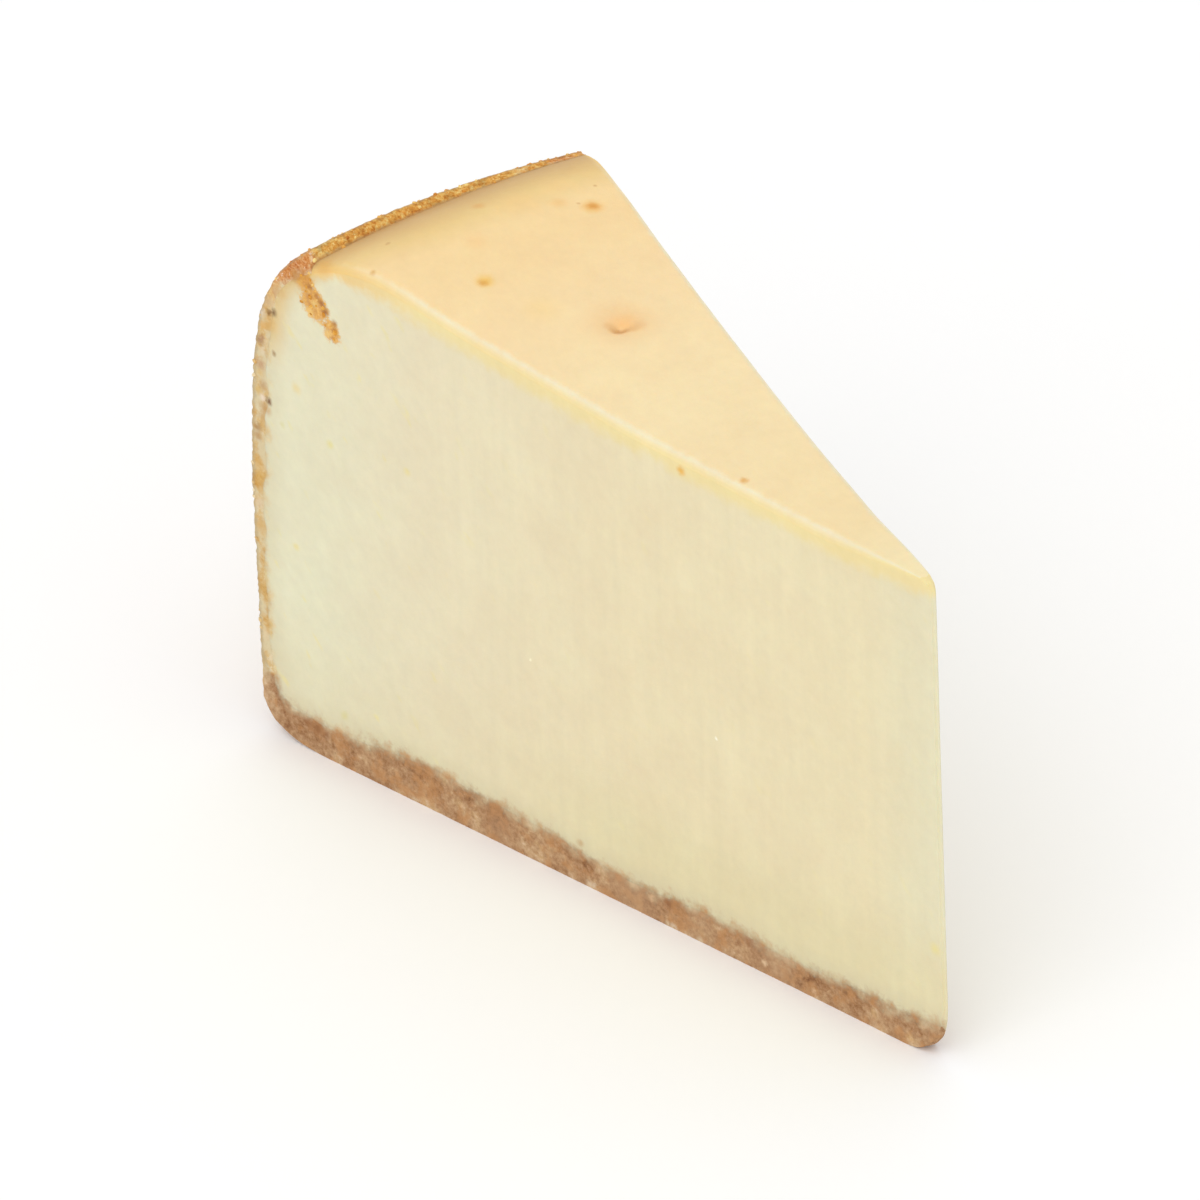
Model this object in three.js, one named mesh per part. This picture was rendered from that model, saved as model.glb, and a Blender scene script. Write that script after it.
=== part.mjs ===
// A slice of tall baked cheesecake: one sixteenth of a round cake, with a crumb crust
// under it and, much thinner, up its outer wall. Millimetres, +Z up, tip towards +X.
//
// Filling and crust are swept the same way. A section is drawn in the plane of a cut, as
// points (r, z): r is the distance from the cake's middle, z the height. The section is
// repeated across the slice, from the cut at -Y to the cut at +Y, and closed at both.
import * as THREE from 'three';
import { ImprovedNoise } from 'three/addons/math/ImprovedNoise.js';

// Driving dimensions
const PAN_RADIUS = 114.3;          // a cake tin 9 inches across
const SLICES_IN_CAKE = 16;
const HALF_ANGLE = Math.PI / SLICES_IN_CAKE;

const TIP_TOP = 68.5;              // height of the baked top at the cake's sunken middle
const CROWN_RISE = 6.55;           // how far the top has risen at CROWN_RADIUS
const CROWN_RADIUS = 92;
const CROWN_POWER = 2.2;
const EDGE_FALL = 5.4;             // the top rounds down again towards the rim
const EDGE_FALL_FROM = 86;
const EDGE_FALL_OVER = 17;
const EDGE_FALL_POWER = 2.6;
const EDGE_FALL_SKEW = 0.12;       // it falls less at the +Y cut

const RIM_RADIUS = 103;            // the rim's crest, in the middle of the slice
const RIM_SKEW = 0.85;             // the rim lies further out at the -Y cut
const RIM_WIDTH = 1.6;             // crumbs showing on top
const RIM_TOP = 72.9;
const RIM_UNEVEN = 0.5;
const RIM_WAVE = 5;
const RIM_EDGE_DROP = 0.25;        // share of the rounding at the cuts that the rim follows
const SHOULDER_FROM = 36;          // the wall leans inwards above this height
const SHOULDER_GENTLE = 0.28;      // gently for this share of the way, and then suddenly
const SHOULDER_POWERS = [5.5, 1.3]; // how suddenly, and how gently
const HEEL_LENGTH = 11;            // the worn corner under the wall
const HEEL_HEIGHT = 5.3;
const HEEL_FULLNESS = 0.8;
const CRAG_HEIGHT = 0.55;          // crumbs standing out of the wall
const CRAG_SPACING = 5;

const BASE_THICKNESS = 4.75;       // crumbs pressed down by hand, so uneven
const BASE_WAVES = [
  { height: 0.9, length: 102, phase: 2.96, turn: 0.4 },
  { height: 0.4, length: 44, phase: 3.36, turn: 0.6 },
  { height: 0.25, length: 24, phase: -1.81, turn: 0.8 },
];
const WALL_THICKNESS = 1.9;
const WALL_WAVES = [
  { height: 0.45, length: 52, phase: -3.6, turn: 0.6 },
  { height: 0.18, length: 10, phase: 0, turn: -2 },
];
const INNER_CORNER = 4;            // radius of the filling's corner inside the crust
const RIM_CRUST_SHARPNESS = 45;    // how suddenly the crust's inside turns in to the rim

const TIP_START = 0.1;
const TIP_NOSE = 0.3;              // half the width of the blunt edge that the knife leaves
const TIP_NOSE_FADE = 10;
const TIP_EDGE_CURVE = 0.4;
const TIP_TOP_ROUND = 1.8;
const TIP_SWELL = 0.4;             // the +Y cut swells a little near the tip
const TIP_SWELL_AT = 11;
const LONG_SWELL = 0.5;            // and along its whole length
const TIP_ROUND_STEPS = [0.2, 0.55, 1];
const TOE_HEIGHT = 8;              // the worn corner under the tip
const TOE_LENGTH = 6.3;
const CUT_EDGE_ROUND = 1.2;        // where the top meets a cut
const CUT_EDGE_SHARE = 0.35;       // of the half width, where the slice is narrower
const CUT_EDGE_STEPS = [0, 0.3];
const FAR_EDGE_DROP = 0.05;        // share of that rounding left at the +Y cut by the rim
const FAR_EDGE_FROM = 90;
const FAR_EDGE_TO = 98;

// How finely each stretch of a section is divided
const INNER_STATIONS = 14;
const BASE_STEPS = 32;
const CORNER_STEPS = 5;
const WALL_STEPS = 24;
const TOP_STEPS = 20;
const RIM_STEPS = 4;
const HEEL_STEPS = 6;
const TOE_STEPS = 6;
const SOLE_STEPS = 14;
const TOP_STEP_GROWTH = 1.4;       // steps along the top are shorter near the rim
const CRAG_FADE_BELOW_RIM = 8;     // the crags fade out over an eighth of the wall
const CRAG_FADE_ABOVE_HEEL = 12;    // and over a twelfth of it

const noise = new ImprovedNoise();
const mix = THREE.MathUtils.lerp;
const fractions = (count) => Array.from({ length: count }, (_, i) => (i + 1) / count);
const quarterTurn = (t) => (t * Math.PI) / 2;

// Height of the baked top at radius r and at v, which runs from -1 at one cut to 1 at the other
function topHeight(r, v) {
  const rise = CROWN_RISE * (r / CROWN_RADIUS) ** CROWN_POWER;
  const past = Math.max(0, (r - EDGE_FALL_FROM) / EDGE_FALL_OVER);
  const fall = EDGE_FALL * (1 - EDGE_FALL_SKEW * Math.max(0, v));
  return TIP_TOP + rise - fall * past ** EDGE_FALL_POWER;
}

// Radius of the rim's crest
function rimRadius(v) {
  return RIM_RADIUS - RIM_SKEW * v;
}

// Radius of the outer wall at height z, above the heel
function wallRadius(z, v) {
  const up = Math.max(0, (z - SHOULDER_FROM) / (RIM_TOP - SHOULDER_FROM));
  const [sudden, gentle] = SHOULDER_POWERS.map((power) => up ** power);
  return PAN_RADIUS - (PAN_RADIUS - rimRadius(v)) * mix(sudden, gentle, SHOULDER_GENTLE);
}

// Adds waves of a height and a length, along a distance s. Each wave is turned a little
// from one cut to the other, so that no two sections are alike.
function wavy(waves, s, v) {
  return waves.reduce((sum, { height, length, phase, turn }) => {
    return sum + height * Math.sin((2 * Math.PI * s) / length + phase + turn * v);
  }, 0);
}

const baseThickness = (r, v) => BASE_THICKNESS + wavy(BASE_WAVES, r, v);
const wallThickness = (z, v) => WALL_THICKNESS + wavy(WALL_WAVES, z, v);

// Radius at which the slice begins at height z: its worn tip, seen along the cut
function tipRadius(z) {
  const low = Math.max(0, TOE_HEIGHT - z) / TOE_HEIGHT;
  const high = THREE.MathUtils.clamp((z - TIP_TOP) / TIP_TOP_ROUND + 1, 0, 1);
  const toe = TOE_LENGTH * (1 - Math.sqrt(1 - low * low));
  return TIP_START + toe + TIP_TOP_ROUND * (1 - Math.sqrt(1 - high * high));
}

// How wide the rounding between the top and a cut is at radius r
function edgeRound(r) {
  return Math.min(CUT_EDGE_ROUND, CUT_EDGE_SHARE * r * HALF_ANGLE);
}

// The stations across the slice. `v` is the place between the cuts at a radius, `drop`
// how far the top has rounded down there, `mid` a single v that stands for the station.
function stationsAcross() {
  const station = (v, share) => ({
    v,
    mid: v(PAN_RADIUS / 2),
    drop: (r) => {
      const far = v(r) > 0 ? THREE.MathUtils.smoothstep(r, FAR_EDGE_FROM, FAR_EDGE_TO) : 0;
      return mix(1, FAR_EDGE_DROP, far) * edgeRound(r) * (1 - Math.sqrt(1 - (1 - share) ** 2));
    },
  });
  const edgeWidth = (r) => edgeRound(r) / (r * HALF_ANGLE);
  const edge = (side) => CUT_EDGE_STEPS.map((share) => {
    return station((r) => side * (1 - share * edgeWidth(r)), share);
  });
  const inner = [0, ...fractions(INNER_STATIONS)].map((t) => {
    const across = mix(-1, 1, t);
    return station((r) => across * (1 - edgeWidth(r)), 1);
  });
  return [...edge(-1), ...inner, ...edge(1).reverse()];
}

// Where a section's point lies at one station
function place([r, z], station) {
  const v = station.v(r);
  const fromTip = r / TIP_SWELL_AT;
  const tipSwell = TIP_SWELL * (fromTip * Math.exp(1 - fromTip)) ** 2;
  const longSwell = LONG_SWELL * Math.sin((Math.PI * r) / PAN_RADIUS);
  const nose = TIP_NOSE * Math.exp(-r / TIP_NOSE_FADE);
  const angle = v * HALF_ANGLE;
  return [
    -r * Math.cos(angle),
    r * Math.sin(angle) + v * nose + Math.max(0, v) * (tipSwell + longSwell),
    z,
  ];
}

// Where filling and crust meet: from the tip along the base and up the wall to the rim
function meetingLine(station) {
  const v = station.mid;
  const inside = (z) => wallRadius(z, v) - wallThickness(z, v);
  const cornerTop = BASE_THICKNESS + INNER_CORNER;
  const cornerFrom = inside(cornerTop) - INNER_CORNER;
  const tip = tipRadius(baseThickness(0, v)) + TIP_EDGE_CURVE * v * v;
  const base = [0, ...fractions(BASE_STEPS)].map((t) => {
    const r = mix(tip, cornerFrom, t);
    return [r, baseThickness(r, v)];
  });
  const floor = baseThickness(cornerFrom, v);
  const corner = fractions(CORNER_STEPS).map((t) => [
    cornerFrom + INNER_CORNER * Math.sin(quarterTurn(t)),
    mix(floor, cornerTop, 1 - Math.cos(quarterTurn(t))),
  ]);
  const rimInner = rimRadius(v) - RIM_WIDTH;
  const rimFoot = topHeight(rimInner, v) - station.drop(rimInner);
  const wall = fractions(WALL_STEPS).map((t) => {
    const z = mix(cornerTop, rimFoot, t);
    return [mix(inside(z), rimInner, t ** RIM_CRUST_SHARPNESS), z];
  });
  return [...base, ...corner, ...wall];
}

// The rest of the filling's section: in along the baked top and down the tip's edge
function bakedLine(station, meeting) {
  const curve = TIP_EDGE_CURVE * station.mid ** 2;
  const rimInner = meeting[meeting.length - 1][0];
  const top = fractions(TOP_STEPS).map((t) => {
    const r = mix(rimInner, tipRadius(TIP_TOP) + curve, t ** TOP_STEP_GROWTH);
    return [r, topHeight(r, station.mid) - station.drop(r)];
  });
  const foot = meeting[0][1];
  const heights = TIP_ROUND_STEPS.map((t) => TIP_TOP - t * TIP_TOP_ROUND);
  const edge = [...heights, TOE_HEIGHT, mix(TOE_HEIGHT, foot, 0.5)];
  return [...top, ...edge.map((z) => [tipRadius(z) + curve, z])];
}

// The rest of the crust's section: over the rim, down the wall, round the heel, along
// the flat underside and up the toe
function crumbLine(station, meeting) {
  const v = station.mid;
  const across = v * HALF_ANGLE * PAN_RADIUS;
  const [rimInner, rimFoot] = meeting[meeting.length - 1];
  const uneven = RIM_UNEVEN * noise.noise(across / RIM_WAVE, 0.5, 0.5);
  const crest = RIM_TOP + uneven - RIM_EDGE_DROP * station.drop(RIM_RADIUS);
  const crag = (z) => {
    const [a, b] = [across / CRAG_SPACING, z / CRAG_SPACING];
    return CRAG_HEIGHT * (noise.noise(a, b, 0.5) + noise.noise(2 * a, 2 * b, 5.5));
  };
  const rim = fractions(RIM_STEPS).map((t) => [
    mix(rimInner, rimRadius(v), t),
    mix(rimFoot, crest, Math.sin(quarterTurn(t))),
  ]);
  const wall = fractions(WALL_STEPS).map((t) => {
    const fade = Math.min(1, CRAG_FADE_BELOW_RIM * t, CRAG_FADE_ABOVE_HEEL * (1 - t));
    const level = mix(RIM_TOP, HEEL_HEIGHT, t);
    const z = mix(crest, HEEL_HEIGHT, t);
    return [wallRadius(level, v) + fade * crag(z), z];
  });
  const heel = fractions(HEEL_STEPS).map((t) => [
    PAN_RADIUS - HEEL_LENGTH * (1 - Math.cos(quarterTurn(t)) ** HEEL_FULLNESS),
    HEEL_HEIGHT * (1 - Math.sin(quarterTurn(t))),
  ]);
  const curve = TIP_EDGE_CURVE * v * v;
  const soleEnd = tipRadius(0) + curve;
  const sole = fractions(SOLE_STEPS).map((t) => [mix(PAN_RADIUS - HEEL_LENGTH, soleEnd, t), 0]);
  const toe = fractions(TOE_STEPS).slice(0, -1).map((t) => {
    const z = meeting[0][1] * (1 - Math.cos(quarterTurn(t)));
    return [tipRadius(z) + curve, z];
  });
  return [...rim, ...wall, ...heel, ...sole, ...toe];
}

// Fills a section with a strip of triangles between its first `split` points, which run
// from the tip to the rim, and the others, which run back. `progress` says how far along
// a point is, and the side that is behind takes the next step.
function fillSection(section, split, progress) {
  const near = section.map((_, i) => i).slice(0, split);
  const far = section.map((_, i) => i).slice(split).reverse();
  const ahead = (side, k) => (k + 1 < side.length ? progress(section[side[k + 1]]) : Infinity);
  const triangles = [];
  let [i, j] = [0, 0];
  while (i + 1 < near.length || j + 1 < far.length) {
    if (ahead(near, i) <= ahead(far, j)) {
      triangles.push([near[i], near[i + 1], far[j]]);
      i += 1;
    } else {
      triangles.push([near[i], far[j + 1], far[j]]);
      j += 1;
    }
  }
  return triangles;
}

// Joins one closed section, repeated at every station, into a closed surface.
// `turn` is 1 for a section that runs anticlockwise and -1 for one that runs clockwise.
function sweep(sections, stations, turn, split, progress) {
  const count = sections[0].length;
  const last = sections.length - 1;
  const faces = [];
  const index = (j, i) => j * count + (i % count);
  for (let j = 0; j < last; j += 1) {
    for (let i = 0; i < count; i += 1) {
      const [a, b, c, d] = [index(j, i), index(j, i + 1), index(j + 1, i + 1), index(j + 1, i)];
      if (turn > 0) faces.push(a, b, c, a, c, d);
      else faces.push(a, c, b, a, d, c);
    }
  }
  for (const j of [0, last]) {
    const outward = j === 0 ? -turn : turn;
    for (const [a, b, c] of fillSection(sections[j], split, progress)) {
      if (outward > 0) faces.push(index(j, a), index(j, b), index(j, c));
      else faces.push(index(j, a), index(j, c), index(j, b));
    }
  }
  const points = sections.flatMap((section, j) => section.flatMap((point) => place(point, stations[j])));
  const geometry = new THREE.BufferGeometry();
  geometry.setAttribute('position', new THREE.Float32BufferAttribute(points, 3));
  geometry.setIndex(faces);
  geometry.computeVertexNormals();
  return geometry;
}

function named(name, geometry, color, roughness) {
  const material = new THREE.MeshStandardMaterial({ name, color, roughness, metalness: 0 });
  const mesh = new THREE.Mesh(geometry, material);
  mesh.name = name;
  return mesh;
}

function cheesecakeSlice() {
  const stations = stationsAcross();
  const meetings = stations.map(meetingLine);
  const creamSections = stations.map((station, j) => [...meetings[j], ...bakedLine(station, meetings[j])]);
  const crumbSections = stations.map((station, j) => [...meetings[j], ...crumbLine(station, meetings[j])]);
  const slice = new THREE.Group();
  slice.name = 'cheesecake_slice';
  const split = meetings[0].length;
  const filling = sweep(creamSections, stations, 1, split, ([r]) => r);
  const crust = sweep(crumbSections, stations, -1, split, ([r, z]) => r + z);
  slice.add(named('cheese_filling', filling, 0xebdeb8, 0.55));
  slice.add(named('crumb_crust', crust, 0xaf845f, 0.9));
  // the origin is under the middle of the slice's box
  const box = new THREE.Box3().setFromObject(slice);
  const middle = box.getCenter(new THREE.Vector3());
  for (const mesh of slice.children) mesh.geometry.translate(-middle.x, -middle.y, -box.min.z);
  return slice;
}

export default cheesecakeSlice();
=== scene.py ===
"""A slice of tall baked cheesecake on a crumb crust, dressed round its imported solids.

The shapes are worked out in millimetres about the cake's middle, where the slice has its
tip, as points (r, z) in the plane of a cut, and then put in place in metres.
"""
import math

import bpy
import numpy as np
from mathutils import Matrix, Vector, noise


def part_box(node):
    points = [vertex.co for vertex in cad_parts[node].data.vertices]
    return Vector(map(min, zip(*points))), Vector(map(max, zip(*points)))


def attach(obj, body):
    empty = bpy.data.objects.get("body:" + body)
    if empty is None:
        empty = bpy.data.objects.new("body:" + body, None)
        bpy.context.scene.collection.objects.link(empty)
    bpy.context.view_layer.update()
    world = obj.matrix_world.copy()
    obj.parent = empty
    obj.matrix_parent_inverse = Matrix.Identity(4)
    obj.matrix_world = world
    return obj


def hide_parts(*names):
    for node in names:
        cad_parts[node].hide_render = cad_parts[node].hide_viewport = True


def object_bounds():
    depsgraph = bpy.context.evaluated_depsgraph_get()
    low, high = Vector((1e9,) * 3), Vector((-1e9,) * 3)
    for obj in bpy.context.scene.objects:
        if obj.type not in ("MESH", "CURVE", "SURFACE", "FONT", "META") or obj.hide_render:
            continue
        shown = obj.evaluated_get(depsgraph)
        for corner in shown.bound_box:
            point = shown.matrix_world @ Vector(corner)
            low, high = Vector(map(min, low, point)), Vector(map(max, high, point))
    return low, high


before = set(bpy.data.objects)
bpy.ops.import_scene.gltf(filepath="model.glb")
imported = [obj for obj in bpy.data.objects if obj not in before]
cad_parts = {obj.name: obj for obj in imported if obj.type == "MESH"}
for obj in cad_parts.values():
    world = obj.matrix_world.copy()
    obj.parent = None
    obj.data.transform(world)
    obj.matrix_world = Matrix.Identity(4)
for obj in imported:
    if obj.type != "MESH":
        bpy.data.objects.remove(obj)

cad_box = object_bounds()
MM = 0.001

# The cake, in millimetres, as its solids have it
PAN_RADIUS = 114.3
HALF_ANGLE = math.pi / 16
TIP_TOP = 68.5
CROWN_RISE, CROWN_RADIUS, CROWN_POWER = 6.55, 92, 2.2
EDGE_FALL, EDGE_FALL_FROM, EDGE_FALL_OVER, EDGE_FALL_POWER, EDGE_FALL_SKEW = 5.4, 86, 17, 2.6, 0.12
RIM_RADIUS, RIM_SKEW, RIM_WIDTH, RIM_TOP, RIM_EDGE_DROP = 103, 0.85, 1.6, 72.9, 0.25
SHOULDER_FROM, SHOULDER_GENTLE, SUDDEN_POWER, GENTLE_POWER = 36, 0.28, 5.5, 1.3
HEEL_LENGTH, HEEL_HEIGHT, HEEL_FULLNESS = 11, 5.3, 0.8
BASE_THICKNESS, WALL_THICKNESS, INNER_CORNER = 4.75, 1.9, 4
BASE_WAVES = ((0.9, 102, 2.96, 0.4), (0.4, 44, 3.36, 0.6), (0.25, 24, -1.81, 0.8))
WALL_WAVES = ((0.45, 52, -3.6, 0.6), (0.18, 10, 0, -2))
RIM_CRUST_SHARPNESS = 45
TIP_START, TIP_NOSE, TIP_NOSE_FADE, TIP_EDGE_CURVE, TIP_TOP_ROUND = 0.1, 0.3, 10, 0.4, 1.8
TIP_SWELL, TIP_SWELL_AT, LONG_SWELL = 0.4, 11, 0.5
TOE_HEIGHT, TOE_LENGTH = 8, 6.3
CUT_EDGE_ROUND, CUT_EDGE_SHARE = 1.2, 0.35
FAR_EDGE_DROP, FAR_EDGE_FROM, FAR_EDGE_TO = 0.05, 90, 98
TIP_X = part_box("cheese_filling")[1].x / MM + TIP_START

# Crumbs break up the line where filling and crust meet: how high and how wide they are,
# over how many millimetres they start by the tip, and over which share of the wall they
# start and end. The wall reads their noise this far from where the base does.
ROUGH_HEIGHT, ROUGH_SIZE, ROUGH_OFF_TIP, ROUGH_FROM, ROUGH_TO, WALL_NOISE_AT = 0.28, 1.9, 6, 0.1, 0.93, 50

# Cells of the two fine meshes: along the base, round the heel and the inner corner, and up
# the wall, then across the slice and through the crust
BASE_CELLS, HEEL_CELLS, CORNER_CELLS, WALL_CELLS = 120, 8, 6, 150
CREAM_ACROSS, CRUST_ACROSS, CRUST_DEEP = 56, 138, 10
EDGE_SHARES = (0, 0.08, 0.18, 0.32, 0.5, 0.75)


def smooth(low, high, x):
    t = np.clip((x - low) / (high - low), 0, 1)
    return t * t * (3 - 2 * t)


def noise_at(size, *coordinates):
    """Smooth noise from about -1 to 1, with features of that size, at each place."""
    places = np.stack(np.broadcast_arrays(*coordinates), -1).reshape(-1, len(coordinates)) / size
    padded = np.zeros((len(places), 3))
    padded[:, :places.shape[1]] = places
    values = np.array([noise.noise(Vector(p)) for p in padded])
    return values.reshape(np.broadcast_shapes(*(np.shape(c) for c in coordinates)))


def top_height(r, v):
    past = np.maximum(0, (r - EDGE_FALL_FROM) / EDGE_FALL_OVER)
    fall = EDGE_FALL * (1 - EDGE_FALL_SKEW * np.maximum(0, v))
    return TIP_TOP + CROWN_RISE * (r / CROWN_RADIUS) ** CROWN_POWER - fall * past ** EDGE_FALL_POWER


def rim_radius(v):
    return RIM_RADIUS - RIM_SKEW * v


def wall_radius(z, v):
    up = np.maximum(0, (z - SHOULDER_FROM) / (RIM_TOP - SHOULDER_FROM))
    leaning = (1 - SHOULDER_GENTLE) * up ** SUDDEN_POWER + SHOULDER_GENTLE * up ** GENTLE_POWER
    return PAN_RADIUS - (PAN_RADIUS - rim_radius(v)) * leaning


def wavy(waves, s, v):
    return sum(h * np.sin(2 * math.pi * s / length + phase + turn * v) for h, length, phase, turn in waves)


def base_thickness(r, v):
    return BASE_THICKNESS + wavy(BASE_WAVES, r, v)


def tip_radius(z):
    low = np.maximum(0, TOE_HEIGHT - z) / TOE_HEIGHT
    high = np.clip((z - TIP_TOP) / TIP_TOP_ROUND + 1, 0, 1)
    toe = TOE_LENGTH * (1 - np.sqrt(1 - low ** 2))
    return TIP_START + toe + TIP_TOP_ROUND * (1 - np.sqrt(1 - high ** 2))


def edge_round(r):
    return np.minimum(CUT_EDGE_ROUND, CUT_EDGE_SHARE * r * HALF_ANGLE)


def across(place, share, r):
    """How far over a place is at r, from -1 at the -Y cut to 1 at the far one, less what the
    round of the cut's edge takes."""
    return place * (1 - share * edge_round(r) / (r * HALF_ANGLE))


class Stations:
    """The places across the slice at which its section is drawn, from one cut to the other."""

    def __init__(self, inner):
        edge = [(-1, share) for share in EDGE_SHARES]
        middle = [(t, 1) for t in np.linspace(-1, 1, inner + 1)]
        both = edge + middle + [(1, share) for share in reversed(EDGE_SHARES)]
        self.place, self.share = (np.array(values, float)[:, None] for values in zip(*both))
        self.mid = across(self.place, self.share, PAN_RADIUS / 2)

    def drop(self, r):
        far = np.where(self.place > 0, smooth(FAR_EDGE_FROM, FAR_EDGE_TO, r), 0)
        drop = edge_round(r) * (1 - np.sqrt(1 - (1 - self.share) ** 2))
        return drop * (1 - (1 - FAR_EDGE_DROP) * far)


def meeting_line(stations):
    """Where filling and crust meet, as r and z: a row for each station, from the tip to the rim."""
    v = stations.mid

    def inside(z):
        return wall_radius(z, v) - WALL_THICKNESS - wavy(WALL_WAVES, z, v)

    corner_top = BASE_THICKNESS + INNER_CORNER
    corner_from = inside(corner_top) - INNER_CORNER
    tip = tip_radius(base_thickness(0, v)) + TIP_EDGE_CURVE * v ** 2
    base_r = tip + (corner_from - tip) * np.linspace(0, 1, BASE_CELLS + 1)
    base_z = base_thickness(base_r, v)
    turn = np.linspace(0, math.pi / 2, CORNER_CELLS + 1)[1:]
    corner_r = corner_from + INNER_CORNER * np.sin(turn)
    corner_z = base_z[:, -1:] + (corner_top - base_z[:, -1:]) * (1 - np.cos(turn))
    rim_inner = rim_radius(v) - RIM_WIDTH
    rim_foot = top_height(rim_inner, v) - stations.drop(rim_inner)
    t = np.linspace(0, 1, WALL_CELLS + 1)[1:]
    wall_z = corner_top + (rim_foot - corner_top) * t
    wall_r = inside(wall_z) + (rim_inner - inside(wall_z)) * t ** RIM_CRUST_SHARPNESS
    arc = v * HALF_ANGLE * PAN_RADIUS
    base_z = base_z + ROUGH_HEIGHT * noise_at(ROUGH_SIZE, base_r, arc) * smooth(0, ROUGH_OFF_TIP, base_r)
    fade = smooth(0, ROUGH_FROM, t) * smooth(1, ROUGH_TO, t)
    wall_r = wall_r + ROUGH_HEIGHT * noise_at(ROUGH_SIZE, wall_z, arc + WALL_NOISE_AT) * fade
    return np.hstack([base_r, corner_r, wall_r]), np.hstack([base_z, corner_z, wall_z])


def patch(low, high, left, right):
    """Fills the four-sided figure between curves: low and high run from left to right."""
    a = np.linspace(0, 1, low.shape[1])[None, :, None]
    c = np.linspace(0, 1, left.shape[1])[None, None, :]
    low, high = low[:, :, None], high[:, :, None]
    left, right = left[:, None, :], right[:, None, :]
    corners = ((1 - a) * (1 - c) * low[:, :1] + a * (1 - c) * low[:, -1:]
               + (1 - a) * c * high[:, :1] + a * c * high[:, -1:])
    return (1 - c) * low + c * high + (1 - a) * left + a * right - corners


def in_place(r, z, stations):
    """Points in millimetres in the slice's own frame, from a block of r and z."""
    v = across(stations.place[:, :, None], stations.share[:, :, None], r)
    from_tip = r / TIP_SWELL_AT
    swell = TIP_SWELL * (from_tip * np.exp(1 - from_tip)) ** 2
    swell = swell + LONG_SWELL * np.sin(math.pi * r / PAN_RADIUS)
    y = r * np.sin(v * HALF_ANGLE) + v * TIP_NOSE * np.exp(-r / TIP_NOSE_FADE) + np.maximum(0, v) * swell
    return np.stack([TIP_X - r * np.cos(v * HALF_ANGLE), y, z], -1), v


def skin_of_block(shape):
    """The corners on the outside of a block of cells, and the quads that join them."""
    inside = np.zeros(shape, bool)
    inside[1:-1, 1:-1, 1:-1] = True
    number = np.full(shape, -1)
    number[~inside] = np.arange((~inside).sum())
    quads = []
    for axis in range(3):
        for end in (0, -1):
            grid = np.take(number, end, axis)
            loop = [grid[:-1, :-1], grid[1:, :-1], grid[1:, 1:], grid[:-1, 1:]]
            if (axis == 1) == (end == 0):
                loop.reverse()
            quads.append(np.stack(loop, -1).reshape(-1, 4))
    return ~inside, np.concatenate(quads)


def new_object(name, data):
    obj = bpy.data.objects.new(name, data)
    bpy.context.collection.objects.link(obj)
    return obj


def closed_mesh(name, block, spread):
    """The outside of a block of points in millimetres as a mesh in metres, which has what is
    spread over the block as its attributes."""
    shown, quads = skin_of_block(block.shape[:3])
    mesh = bpy.data.meshes.new(name)
    mesh.from_pydata((block[shown] * MM).tolist(), [], quads.tolist())
    for key, values in spread.items():
        kind, slot = ("FLOAT_VECTOR", "vector") if values.ndim == 4 else ("FLOAT", "value")
        flat = np.ascontiguousarray(values[shown], np.float32).ravel()
        mesh.attributes.new(key, kind, "POINT").data.foreach_set(slot, flat)
    mesh.validate()
    turn_outwards(mesh)
    return new_object(name, mesh)


def turn_outwards(mesh):
    """Turns the faces of a closed mesh outwards."""
    points = np.empty(len(mesh.vertices) * 3)
    mesh.vertices.foreach_get("co", points)
    points = points.reshape(-1, 3)
    loops = np.empty(len(mesh.loops), int)
    mesh.loops.foreach_get("vertex_index", loops)
    a, b, c, d = points[loops.reshape(-1, 4)].transpose(1, 0, 2)
    volume = np.einsum("ij,ij->i", a, np.cross(b, c) + np.cross(c, d)).sum()
    if volume < 0:
        mesh.flip_normals()


def add(tree, kind, inputs=(), **settings):
    """Adds a node with its settings, one of the shader's where its kind doesn't say more. Each
    input is a value, a socket to link it to, or a node that gives its first output."""
    made = tree.nodes.new(kind if "Node" in kind else "ShaderNode" + kind)
    for key, value in settings.items():
        setattr(made, key, value)
    for key, value in dict(inputs).items():
        if isinstance(value, bpy.types.Node):
            value = value.outputs[0]
        if isinstance(value, bpy.types.NodeSocket):
            tree.links.new(value, made.inputs[key])
        else:
            made.inputs[key].default_value = value
    return made


def linear(code):
    """An sRGB hex colour as linear red, green, blue and alpha."""
    parts = [int(code[i:i + 2], 16) / 255 for i in (1, 3, 5)]
    return [p / 12.92 if p <= 0.04045 else ((p + 0.055) / 1.055) ** 2.4 for p in parts] + [1.0]


# The filling's cut faces. A knife drags the cheese: in long upright strokes, and near the
# crust in short slanting ones. All of them fade out over so many millimetres from the top,
# the crust and the tip. The two cuts read the sway's noise this far to either side.
STROKE_HEIGHT, STROKE_WIDTH, STROKE_LENGTH = 0.05, 1.8, 24
DRAG_HEIGHT, DRAG_WIDTH, DRAG_LENGTH, DRAG_SLANT = 0.09, 2.6, 7, math.radians(42)
DRAG_FROM, DRAG_FULL = 70, 96
SWAY_HEIGHT, SWAY_SIZE, SWAY_APART = 0.18, 22, 9
OFF_TOP, OFF_CRUST, OFF_TIP = 1.5, 1, 2

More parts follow.
